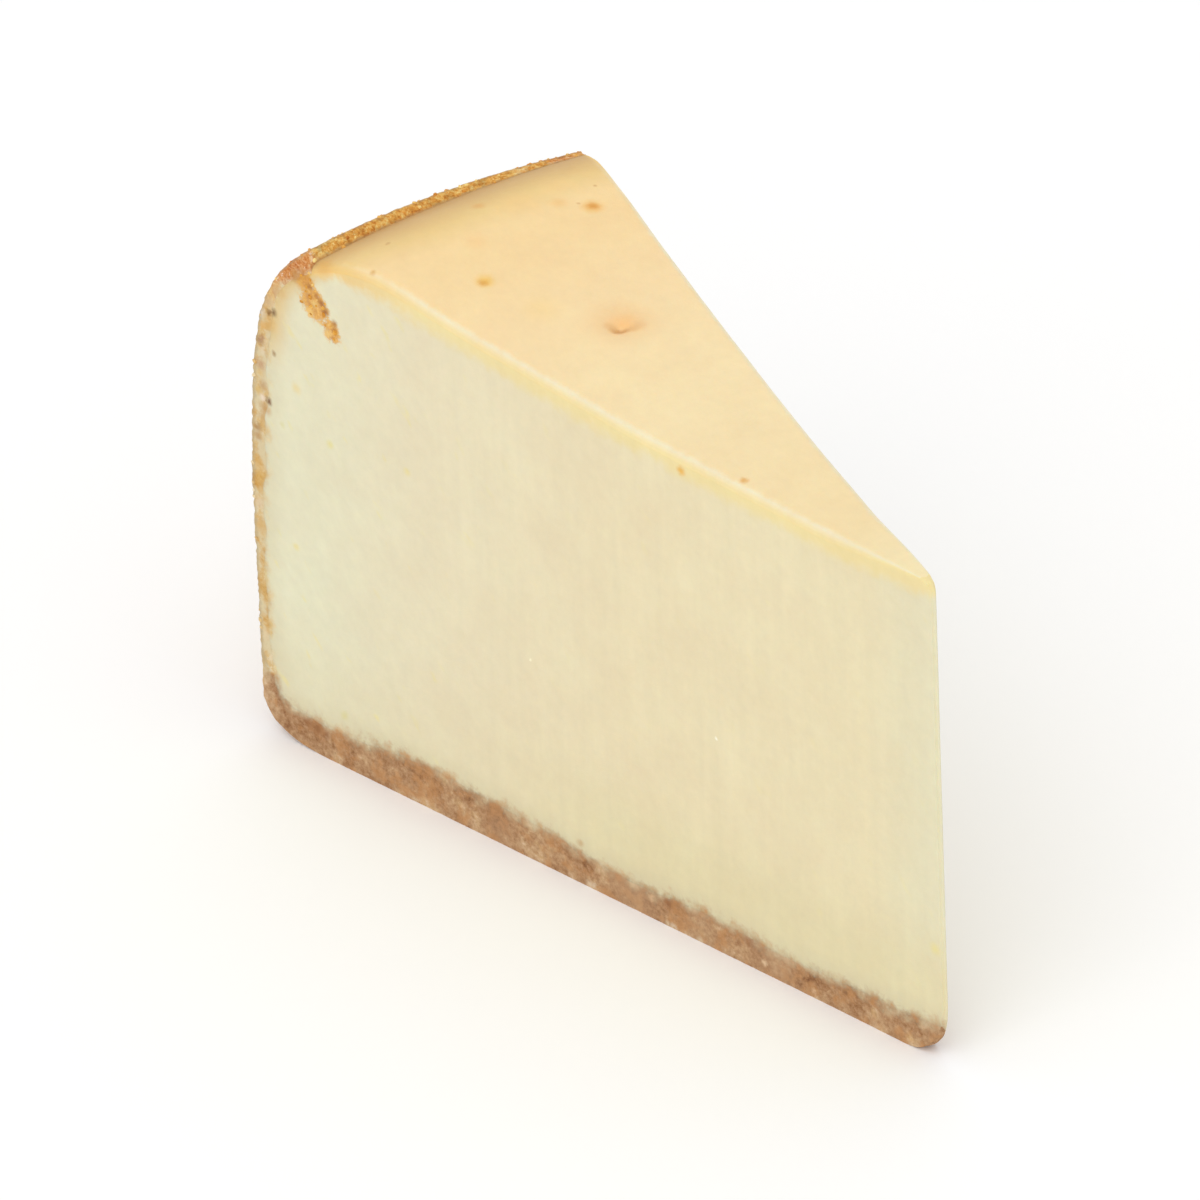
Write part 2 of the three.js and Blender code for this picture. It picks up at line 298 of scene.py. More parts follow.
# The baked top: slow waves, sunk a little and levelled out by the tip and the rim, and small
# hollows left by burst bubbles, each as its radius from the cake's middle, its place between
# the cuts, its width and its depth
WAVE_HEIGHT, WAVE_SIZE, WAVE_SINK, LEVEL_BY_TIP, LEVEL_BY_RIM = 0.16, 11, 0.6, 6, 2.5
HOLLOWS = ((66.5, 0.16, 4.2, 0.4), (65.6, 0.07, 1.6, 0.25), (82.3, -0.43, 1.3, 0.07), (87.6, 0.72, 1.3, 0.07),
           (40.5, 0.35, 1.4, 0.12), (54, -0.5, 1.2, 0.1), (24, 0.1, 1, 0.1))

# Crumbs that the knife carried from the rim onto the -Y cut: r, z, half length and half
# width of each patch, and how far it leans; then where a patch starts to thin and ends, in
# shares of its size, and how much of a stain brings few crumbs and many
SMEARS = ((103.4, 69.4, 2.0, 1.5, 0.8), (102.0, 66.5, 2.8, 2.4, 0.8), (99.3, 63.6, 1.9, 1.5, 1.4))
SMEAR_THINS, STAIN_BRINGS = (0.4, 1.3), (0.3, 0.9)

# Next to the crust the cream is greyer and wetter, less so between the two heights, and
# high up it is golden from the browned crumbs: shares, heights, and how far from the crust
WET_SHARE, WET_LOST, WET_HEIGHTS, WET_REACH = 0.7, 0.25, (8, 20), (0.4, 4)
STAIN_SHARE, STAIN_HEIGHTS, STAIN_REACH = 0.85, (53, 61), (0, 4)
# The cut is darker low down, less so towards the wall
LOW_SHARE, LOW_LOST, LOW_HEIGHTS, LOW_REACH = 0.8, 0.75, (22, 9), (50, 78)
# How far the top's browning and its painted shade by the rim stop short by the -Y cut, in millimetres, and
# where across
BROWNING_AND_SHADE_SHORT, SHORT_FROM, SHORT_FULL = 2.4, 0.35, 0.95

# The heights between which the crust turns golden, its crumbs are worn smoother, they are
# toasted, and they redden by the cuts
GOLDEN_HEIGHTS, WORN_HEIGHTS, TOASTED_HEIGHTS, RUSTY_HEIGHTS = (6.5, 12), (60, 69), (58, 69), (64, 70)
# Where the outer wall has left the sole, in z and in r
WALL_HEIGHTS, WALL_REACH = (1, 6), (60, 100)
# Shares of the crumbs' full relief on the cuts, the sole and the rim, how much wear takes,
# and the height over which relief starts at the table
CUT_RELIEF, SOLE_RELIEF, RIM_RELIEF, WEAR, RELIEF_FROM = 0.2, 0.45, 0.6, 0.5, 1.2
# Loose crumbs start on the wall between these heights, and fewer lie on the rim
LOOSE_HEIGHTS, LOOSE_ON_RIM = (7, 13), 0.45
# Rust by the near cut and, weaker, by the far one: where it starts and is full
NEAR_RUST, FAR_RUST, FAR_RUST_SHARE = (0.9, 1), (0.4, 0.9), 0.5


def cut_relief(r, z, side):
    """Height of the knife's marks on a cut face, in millimetres, with -1 or 1 as its side."""
    strokes = STROKE_HEIGHT * noise_at(1, r / STROKE_WIDTH + side, z / STROKE_LENGTH)
    along = z * math.cos(DRAG_SLANT) + r * math.sin(DRAG_SLANT)
    beside = r * math.cos(DRAG_SLANT) - z * math.sin(DRAG_SLANT)
    drags = DRAG_HEIGHT * noise_at(1, beside / DRAG_WIDTH + side, along / DRAG_LENGTH)
    sway = SWAY_HEIGHT * noise_at(SWAY_SIZE, r + SWAY_APART * side, z)
    return strokes + sway + drags * smooth(DRAG_FROM, DRAG_FULL, r)


def smear_mask(r, z):
    mask = np.zeros_like(r)
    for at_r, at_z, length, width, lean in SMEARS:
        along = (r - at_r) * math.cos(lean) + (z - at_z) * math.sin(lean)
        beside = (z - at_z) * math.cos(lean) - (r - at_r) * math.sin(lean)
        away = np.sqrt((along / length) ** 2 + (beside / width) ** 2)
        mask = np.maximum(mask, 1 - smooth(*SMEAR_THINS, away))
    return mask


def filling():
    """The baked filling with its skin, as one closed mesh."""
    stations = Stations(CREAM_ACROSS)
    line_r, line_z = meeting_line(stations)
    low_r, low_z = line_r[:, :BASE_CELLS + 1], line_z[:, :BASE_CELLS + 1]
    right_r, right_z = line_r[:, BASE_CELLS:], line_z[:, BASE_CELLS:]
    curve = TIP_EDGE_CURVE * stations.mid ** 2
    start = tip_radius(TIP_TOP) + curve
    high_r = start + (right_r[:, -1:] - start) * np.linspace(0, 1, BASE_CELLS + 1)
    high_z = top_height(high_r, stations.mid) - stations.drop(high_r)
    rise = np.linspace(0, 1, right_r.shape[1])
    left_z = low_z[:, :1] + (high_z[:, :1] - low_z[:, :1]) * rise
    left_r = tip_radius(left_z) + curve
    left_r[:, 0], left_r[:, -1] = low_r[:, 0], high_r[:, 0]
    r = patch(low_r, high_r, left_r, right_r)
    z = patch(low_z, high_z, left_z, right_z)
    points, v = in_place(r, z, stations)

    under_top = high_z[:, :, None] - z
    wall_r = np.stack([np.interp(row_z, edge_z, edge_r) for row_z, edge_z, edge_r
                       in zip(z.reshape(len(z), -1), right_z, right_r)]).reshape(z.shape)
    off_crust = np.minimum(z - low_z[:, :, None], wall_r - r)

    cut = np.zeros(r.shape)
    cut[0], cut[-1] = -1, 1
    fade = smooth(0, OFF_TOP, under_top) * smooth(0, OFF_CRUST, off_crust) * smooth(0, OFF_TIP, r)
    for row, side in ((0, -1), (-1, 1)):
        push = cut_relief(r[row], z[row], side) * fade[row]
        points[row] += push[..., None] * np.array([math.sin(HALF_ANGLE), side * math.cos(HALF_ANGLE), 0])

    top_r, top_v = r[:, :, -1], v[:, :, -1]
    dip = WAVE_HEIGHT * (noise_at(WAVE_SIZE, top_r, top_r * top_v * HALF_ANGLE) - WAVE_SINK)
    for at_r, at_v, width, depth in HOLLOWS:
        away = np.hypot(top_r - at_r, (top_v - at_v) * HALF_ANGLE * at_r)
        dip = dip - depth * np.exp(-(away / (width / 2)) ** 2)
    dip = dip * smooth(0, LEVEL_BY_TIP, top_r) * smooth(0, LEVEL_BY_RIM, high_r[:, -1:] - top_r)
    points[:, :, -1, 2] += dip

    high = smooth(*STAIN_HEIGHTS, z)
    low = LOW_SHARE * smooth(*LOW_HEIGHTS, z) * (1 - LOW_LOST * smooth(*LOW_REACH, r))
    wet = (WET_SHARE - WET_LOST * smooth(*WET_HEIGHTS, z)) * (1 - smooth(*WET_REACH, off_crust)) * (1 - high)
    golden = STAIN_SHARE * (1 - smooth(*STAIN_REACH, off_crust)) * high
    ground = ramp_of(CUT_COLOURS, r)
    for code, share in ((LOW_CUT, low), (SHADE, wet), (GOLDEN_STAIN, golden)):
        ground = blend(ground, code, share)
    # the top's colour: browned, and over its last millimetres to the rim darker still with painted shade
    # where it slopes down to the crust
    ground[:, :, -1] = ramp_of(TOP_COLOURS, top_r - BROWNING_AND_SHADE_SHORT * smooth(SHORT_FROM, SHORT_FULL, -top_v))

    stain = np.where(cut == -1, smear_mask(r, z), 0)
    edge = np.zeros(r.shape)
    edge[:, :, -1] = 1 - stations.share
    return closed_mesh("baked_filling", points, {
        "place": np.stack([r, v * HALF_ANGLE * r, z], -1), "under_top": under_top, "off_crust": off_crust,
        "stain": stain, "sprinkle": smooth(*STAIN_BRINGS, stain), "edge": edge, "ground": ground,
        "slanting": smooth(DRAG_FROM, DRAG_FULL, r),
    })


def crust():
    """The crumb crust before its crumbs are raised: base, heel, wall and rim in one mesh."""
    stations = Stations(CRUST_ACROSS)
    inner_r, inner_z = meeting_line(stations)
    mid = stations.mid
    curve = TIP_EDGE_CURVE * mid ** 2
    sole_end = tip_radius(0.0) + curve
    heel_start = PAN_RADIUS - HEEL_LENGTH
    sole_r = sole_end + (heel_start - sole_end) * np.linspace(0, 1, BASE_CELLS - HEEL_CELLS + 1)
    sole_z = np.zeros_like(sole_r)
    turn = np.linspace(math.pi / 2, 0, HEEL_CELLS + CORNER_CELLS + 1)[1:]
    # 0 * mid repeats the heel's line for every station
    heel_r = PAN_RADIUS - HEEL_LENGTH * (1 - np.cos(turn) ** HEEL_FULLNESS) + 0 * mid
    heel_z = HEEL_HEIGHT * (1 - np.sin(turn)) + 0 * mid
    crest = RIM_TOP - RIM_EDGE_DROP * stations.drop(RIM_RADIUS)
    t = np.linspace(0, 1, WALL_CELLS + 1)[1:]
    level = HEEL_HEIGHT + (RIM_TOP - HEEL_HEIGHT) * t
    wall_z = HEEL_HEIGHT + (crest - HEEL_HEIGHT) * t
    outer_r = np.hstack([sole_r, heel_r, wall_radius(level, mid)])
    outer_z = np.hstack([sole_z, heel_z, wall_z])
    deep = np.linspace(0, 1, CRUST_DEEP + 1)
    tip_z = inner_z[:, :1] * (1 - np.sin(deep * math.pi / 2))
    tip_r = tip_radius(tip_z) + curve
    tip_r[:, 0] = inner_r[:, 0]
    rim_r = inner_r[:, -1:] + (outer_r[:, -1:] - inner_r[:, -1:]) * deep
    rim_z = inner_z[:, -1:] + (outer_z[:, -1:] - inner_z[:, -1:]) * np.sin(deep * math.pi / 2)
    r = patch(inner_r, outer_r, tip_r, rim_r)
    z = patch(inner_z, outer_z, tip_z, rim_z)
    points, v = in_place(r, z, stations)

    cut, outside, rim = (np.zeros(r.shape) for _ in range(3))
    cut[0], cut[-1] = 1, 1
    outside[:, :, -1] = 1
    rim[:, -1] = 1
    wall = smooth(*WALL_HEIGHTS, z) * smooth(*WALL_REACH, r)
    worn = 1 - WEAR * smooth(*WORN_HEIGHTS, z)
    crumbly = outside * (SOLE_RELIEF + (1 - SOLE_RELIEF) * wall) * worn * smooth(0, RELIEF_FROM, z)
    relief = np.maximum.reduce([CUT_RELIEF * cut, crumbly, RIM_RELIEF * rim])
    sprinkle = np.maximum(outside * smooth(*LOOSE_HEIGHTS, z) * worn, LOOSE_ON_RIM * rim)
    relief[:, :, 0] = 0
    sprinkle[:, :, 0] = 0
    golden = smooth(*GOLDEN_HEIGHTS, z)
    by_cut = np.maximum(smooth(*NEAR_RUST, -v), FAR_RUST_SHARE * smooth(*FAR_RUST, v))

    return closed_mesh("crumb_crust_fine", points, {
        "place": np.stack([r, v * HALF_ANGLE * r, z], -1), "relief": relief,
        "toasted": smooth(*TOASTED_HEIGHTS, z), "rusty": smooth(*RUSTY_HEIGHTS, z) * by_cut,
        "sprinkle": sprinkle, "cut": cut, "bared": np.maximum(cut, rim),
        "off_filling": deep * (BASE_THICKNESS + (WALL_THICKNESS - BASE_THICKNESS) * golden),
    })


# Colours of the baked top, from the tip to the rim, and of the cut, from the tip to the
# wall: a distance from the cake's middle, and the colour there
# Over its last 8 mm to the rim the top darkens: partly browning, partly painted shade where it slopes down to
# the crust
TOP_COLOURS = ((4, "#F3E3B9"), (16, "#F3DCAF"), (50, "#F5DFB4"), (72, "#F6DAAC"), (90, "#F6D7A3"),
               (94, "#EDCD8E"), (97, "#DFBA7D"), (99.5, "#D2AB74"), (101.4, "#C69C67"))
CUT_COLOURS = ((0, "#E2DCC1"), (12, "#E8DBBA"), (50, "#E8DABA"), (85, "#E6DBC0"), (104, "#E4DFC6"))
LOW_CUT, SHADE, GOLDEN_STAIN = "#E2D7B3", "#D8CEB0", "#DFBE82"
# The pale ridge between top and cut is partly worn skin and partly a painted highlight on its rounded edge
WORN_RIDGE_AND_HIGHLIGHT, BAND, BAND_BY_RIM, CURD = "#EEE5CC", "#EFDCA2", "#EFC67C", "#EADD9C"
PEACH, STRAW = "#FFFBF2", "#FBFFF8"

# Spots where the photograph shows them, each with its width in millimetres, its colour and
# how strong it is. Those on the top are at r and v: burst bubbles, browned patches, and painted
# shadow in the crease and at the sides of the largest hollow.
TOP_MARKS = (
    (82.4, -0.43, 3.2, "#F2C466", 0.95), (82.2, -0.46, 1.7, "#DE9E3C", 0.75),
    (87.7, 0.71, 3.2, "#F0BA68", 0.9), (87.8, 0.72, 1.6, "#DC943C", 0.75), (66.5, 0.16, 10, "#F2C48C", 0.6),
    # the big hollow's orange inside, then painted shadow in the crease on its near side and at its sides,
    # down to 65 mm
    (66.3, 0.16, 4.6, "#FCC888", 0.85), (66.9, 0.045, 2.2, "#DFAE74", 0.45),
    (66.1, 0.045, 1.6, "#D09656", 0.5), (65.6, 0.06, 1.3, "#CA8E4C", 0.7), (65.3, 0.09, 1.2, "#CA8E4C", 0.7),
    (65.2, 0.13, 1.3, "#C48A4E", 0.6), (65.1, 0.19, 1.9, "#D9A468", 0.45), (65, 0.27, 2.4, "#DFAE74", 0.35),
    (96.3, -0.63, 0.9, "#C8925A", 0.6), (92.4, -0.97, 1.2, "#D9A04E", 0.7), (95.7, 0.09, 2.2, "#E2AC66", 0.7),
    (91.4, 0.84, 0.6, "#C08850", 0.6), (89.1, 0.64, 0.6, "#C8945C", 0.5), (90.3, 0.52, 2.6, "#F3C682", 0.6),
    (100.6, -0.98, 3.4, "#DFAC60", 0.7), (93, 0.3, 7, "#F2C486", 0.35), (94, 0.62, 5, "#F6CC8E", 0.4),
    (32.1, -0.78, 1.6, "#E2AA58", 0.85), (89, -0.2, 4, "#F5CB90", 0.5), (74, -0.3, 6, "#F8D89A", 0.5),
)
# Those on the -Y cut are at r and z. On the filling: curds, holes, and dark and bright grains
# among the carried crumbs, and two white specks that are painted glints of wet.
CUT_MARKS = (
    (41.2, 67.4, 1.7, "#EBB654", 0.95), (105.8, 53, 2, "#E9D08A", 0.6), (108.6, 46.6, 1.2, "#D8D09A", 0.6),
    (60.5, 5.9, 1.4, "#B98A55", 0.5), (1.5, 16, 2.2, "#EADB8C", 0.6), (102.8, 68.8, 1.4, "#A0622A", 0.8),
    (101.7, 67.9, 1.3, "#B0702E", 0.7), (100.9, 67.1, 1.5, "#A0622A", 0.8),
    (100.2, 66.2, 1.6, "#9A5C28", 0.8), (98.8, 64.9, 1.5, "#A4682A", 0.8), (98.8, 63.9, 1.2, "#B87A34", 0.6),
    (102.9, 65.3, 1.8, "#F4CE80", 0.7), (101.9, 66.4, 1.2, "#F6D690", 0.6), (99.9, 63.2, 1.4, "#F6D690", 0.6),
    (100.5, 47, 1.5, "#E6D680", 0.6), (87.5, 48.3, 1.5, "#E6D680", 0.5), (107.3, 29.4, 1.4, "#E8D98A", 0.6),
    # the last two are painted highlights: white glints of wet on the cut
    (100.4, 7.6, 1.6, "#DDD08C", 0.6), (67.7, 29.4, 0.6, "#FFF9E4", 0.8), (37, 31, 0.6, "#FFFAF0", 0.9),
)
# On the crust: pale stretches of the base, and cream, gold and burnt crumbs up the wall
CRUST_MARKS = (
    (74.2, 2.2, 7, "#C69E78", 0.45), (51.6, 1.8, 13, "#CBA580", 0.5), (40.8, 2.3, 8, "#C8A480", 0.3),
    (28.4, 1.8, 11, "#CBA580", 0.45), (113.3, 39.4, 2.6, "#DDA854", 0.7), (113.2, 37.4, 3.2, "#E0B05C", 0.6),
    (113.2, 35.9, 2.2, "#D8A048", 0.6), (113.5, 30.2, 3.6, "#DCAA5A", 0.7),
    (113.3, 33.4, 2.4, "#EBD6B4", 0.8), (113, 43.2, 1.8, "#BE9468", 0.7),
    (112.9, 44.5, 1.8, "#B48C62", 0.7), (111.9, 46.4, 2, "#D2A468", 0.7),
    (111.6, 47.7, 2.4, "#CC9A5C", 0.75), (111.9, 49.2, 1.5, "#F6E2CE", 0.9),
    (112.5, 50, 1.8, "#E0BA70", 0.7), (111.6, 51, 2, "#CBA272", 0.7),
    (112.2, 52.7, 2, "#E2BE7C", 0.7), (111.9, 53.9, 2.2, "#CC9C72", 0.8),
    (111.4, 56, 1.6, "#EBD8B8", 0.7), (111.8, 57.4, 2, "#A8764C", 0.8),
    (111.4, 58, 1.3, "#B88048", 0.7), (111.2, 59.8, 1.8, "#E8B468", 0.8),
    (111.4, 61.7, 1.8, "#EEE0D2", 0.85), (109.9, 63.8, 2.2, "#D8B488", 0.7),
    (108.7, 65.6, 2.2, "#D6A878", 0.7), (113.4, 20.6, 3, "#D8AC62", 0.6), (113.4, 14.2, 2.4, "#EAD3AA", 0.7),
    (106.8, 4, 2.2, "#8E5A36", 0.6), (105.2, 3.7, 2.6, "#855232", 0.6), (103.7, 3.4, 1.6, "#8E5A36", 0.6),
    (46.1, 3.4, 2, "#9A6440", 0.7), (34.4, 2.6, 1.4, "#94603C", 0.6), (32.4, 3.8, 2.6, "#A06A46", 0.5),
    (48.9, 2.9, 1.2, "#E2BE94", 0.8), (30.1, 1.5, 1.3, "#F0D0A8", 0.9), (22, 1, 1.1, "#EBC8A0", 0.7),
    (59.2, 0.5, 1.6, "#E8D4B4", 0.9), (58.4, 0.6, 1, "#EAD8BC", 0.8), (46.2, 0.4, 1.1, "#E8D2AE", 0.8),
    (45.2, 0.3, 1.3, "#E6D4B8", 0.8), (40.9, 0.3, 1.2, "#E8D2AE", 0.7), (52, 3.6, 2.2, "#E2C9A0", 0.6),
)
# And over the join of the two, so they are laid on both
JOIN_MARKS = (
    (110, 60.5, 2.8, "#E4B468", 0.7), (109.1, 62.5, 1.5, "#7A5630", 0.9),
    (109.9, 62.1, 1.4, "#8A6234", 0.85), (109.4, 56.5, 1.1, "#9A7242", 0.8),
    (110.8, 49, 1.4, "#744624", 0.95), (111, 47.6, 1.8, "#CC9A5C", 0.6),
    (107.6, 65.9, 2.4, "#DDB274", 0.5), (105, 69.3, 2.6, "#C8883E", 0.8),
    (104.2, 68.2, 1.8, "#D9A04E", 0.6), (103.6, 69.8, 2.4, "#CC8A3E", 0.55),
)
# A spot fades out this far from its middle, as a share of its width
SPOT_REACH = 0.6

# Which sockets of a Mix node are its colours, and where its mixed colour comes out
FROM, TO, MIXED = 6, 7, 2
# For a share that starts and ends gently
GENTLY = {"interpolation_type": "SMOOTHSTEP"}


def ramp_of(stops, r):
    """The linear colour at each r, from stops of r and a hex colour."""
    at = [stop for stop, _ in stops]
    colours = np.array([linear(code)[:3] for _, code in stops])
    return np.stack([np.interp(r, at, colours[:, k]) for k in range(3)], -1)


def blend(colours, code, share):
    """Linear colours with a share of another laid over them."""
    return colours + share[..., None] * (np.array(linear(code)[:3]) - colours)


def laid_over(tree, colour, layers):
    """A colour with others laid over it in turn, each by its share."""
    for share, tint in layers:
        mixed = add(tree, "Mix", {0: share, FROM: colour, TO: tint}, data_type="RGBA")
        colour = mixed.outputs[MIXED]
    return colour


def held_to(tree, share, *limits):
    """A share held down by limits from 0 to 1."""
    for limit in limits:
        share = add(tree, "Math", {0: share, 1: limit}, operation="MULTIPLY")
    return share


def shifted(tree, value, sources):
    """A value shifted by so much of each source."""
    for source, much in sources:
        value = add(tree, "Math", {0: source, 1: much, 2: value}, operation="MULTIPLY_ADD")
    return value


def ragged_place(tree, place, source, reach):
    """A place jogged by a noise's colours, so that what is drawn there gets a ragged outline."""
    jog = add(tree, "VectorMath", {0: source.outputs["Color"], 1: (0.5, 0.5, 0.5)}, operation="SUBTRACT")
    return add(tree, "VectorMath", {0: jog, 1: (reach, reach, reach), 2: place}, operation="MULTIPLY_ADD")


def on_cut(r, z):
    """A place on the -Y cut as r, arc and z."""
    return r, -HALF_ANGLE * r, z


def on_top(r, v):
    """A place on the top as r, arc and z."""
    return r, v * HALF_ANGLE * r, float(top_height(r, v))


def marked(tree, colour, place, face, marks):
    """Lays soft round spots over a colour, on that face of the slice."""
    for first, second, width, code, strength in marks:
        away = add(tree, "VectorMath", {0: place, 1: face(first, second)}, operation="DISTANCE")
        mask = add(tree, "MapRange", {0: away.outputs["Value"], 1: 0.0, 2: SPOT_REACH * width,
                                      3: strength, 4: 0.0}, **GENTLY)
        colour = laid_over(tree, colour, [(mask, linear(code))])
    return colour


def new_material(name, **finish):
    """A material with its tree and its shader, which has the given finish all over."""
    material = bpy.data.materials.new(name)
    material.use_nodes = True
    shader = material.node_tree.nodes["Principled BSDF"]
    for key, value in finish.items():
        shader.inputs[key.replace("_", " ")].default_value = value
    return material, material.node_tree, shader


def surface(tree, shader, colour, grain, strength, depth):
    """Gives the shader its colour, and a grain of that depth in millimetres."""
    bump = add(tree, "Bump", {"Strength": strength, "Distance": depth * MM, "Height": grain})
    tree.links.new(colour, shader.inputs["Base Color"])
    tree.links.new(bump.outputs["Normal"], shader.inputs["Normal"])


# The crumbs' colours, from the darkest to the palest: packed under the filling, golden up
# the wall, toasted at the rim, rusty by the cuts there, and carried by the knife
PACKED_COLOURS = ((0.0, "#764A2E"), (0.25, "#A77951"), (0.5, "#C0976F"), (0.75, "#D4B089"), (1.0, "#EBD5B3"))
GOLDEN_COLOURS = ((0.0, "#A87036"), (0.25, "#C8944C"), (0.5, "#DAAE6A"), (0.75, "#E4C58C"), (1.0, "#F0DFBC"))
TOASTED_COLOURS = ((0.0, "#A85C1E"), (0.3, "#D88E36"), (0.6, "#ECB45A"), (1.0, "#FBE294"))
RUSTY_COLOURS = ((0.0, "#9A481A"), (0.35, "#C8743A"), (0.65, "#E0985A"), (1.0, "#F4CC9C"))
CARRIED_COLOURS = ((0.0, "#9A5E26"), (0.3, "#D28E34"), (0.6, "#E6AA48"), (1.0, "#F4D084"))
# Painted shade between the crumbs and along the crust's outer edge, then cream, butter and pale flecks
GAP_SHADE, CREAMY, OUTLINE_SHADE, TAN = "#6E4420", "#E4D6B0", "#B29E7E", "#CC9560"
GOLDEN_FLECK, ROSY_FLECK = "#FCE096", "#FAE6D4"


def crumb_tones(tree, tone, stops):
    """The colour of baked crumb at a tone from 0, the darkest, to 1."""
    made = add(tree, "ValToRGB", {0: tone})
    while len(made.color_ramp.elements) < len(stops):
        made.color_ramp.elements.new(0.5)
    for element, (at, code) in zip(made.color_ramp.elements, stops):
        element.position = at
        element.color = linear(code)
    return made.outputs["Color"]


def toned(tree, tone, sources):
    """A tone made lighter where a source is over its middle, and darker where it is under."""
    for source, much in sources:
        centred = add(tree, "Math", {0: source, 1: 0.5}, operation="SUBTRACT")
        tone = shifted(tree, tone, [(centred, much)])
    return tone


def crumb_colour(tree, place, cell, off_filling):
    """The crust's colour below its rim: packed and brown under the filling, and golden up the
    wall. The noises that it comes with are dust of 0.7 mm, patches 4 mm across and smears
    2.6 mm across."""
    dust, patches, smears = (
        add(tree, "TexNoise", {"Vector": place, "Scale": 1 / size, "Detail": detail, "Roughness": rough})
        for size, detail, rough in ((0.7, 6.0, 0.7), (4, 4.0, 0.6), (2.6, 4.0, 0.6)))
    # under the filling the crumbs took up its butter and baked darker
    soaked = add(tree, "MapRange", {0: off_filling, 1: 0.5, 2: 4.0, 3: 0.36, 4: 0.5})
    dark = toned(tree, soaked, ((cell, 0.12), (dust, 1.3), (patches, 1.3)))
    light = toned(tree, 0.64, ((cell, 0.12), (dust, 1.4), (patches, 1.2)))
    butter = add(tree, "MapRange", {0: smears, 1: 0.5, 2: 0.62, 3: 0.0, 4: 0.6})
    height = add(tree, "SeparateXYZ", {0: place}).outputs["Z"]
    low, high = GOLDEN_HEIGHTS
    golden = add(tree, "MapRange", {0: height, 1: low, 2: high, 3: 0.0, 4: 1.0}, **GENTLY)
    ragged = shifted(tree, golden, [(patches, 2.0)])
    turned = add(tree, "MapRange", {0: ragged, 1: 1.1, 2: 1.8, 3: 0.0, 4: 1.0}, **GENTLY)
    colour = laid_over(tree, crumb_tones(tree, dark, PACKED_COLOURS), (
        (butter, linear(TAN)), (turned, crumb_tones(tree, light, GOLDEN_COLOURS))))
    return colour, golden, dust, patches, smears


def crumb_share(tree, past_join, golden, dust, smears):
    """How much crumb is mixed into the cream at a distance past the join, which is below 0
    inside the crust: in clouds and wisps, and less of it up the wall."""
    for source, most in ((dust, 0.45), (smears, 0.9)):
        raised = add(tree, "MapRange", {0: source, 1: 0.3, 2: 0.7, 3: most, 4: -most})
        past_join = add(tree, "Math", {0: raised, 1: past_join}, operation="ADD")
    higher = shifted(tree, past_join, [(golden, 0.35)])
    return add(tree, "MapRange", {0: higher, 1: -0.9, 2: 1.5, 3: 1.0, 4: 0.0}, **GENTLY)


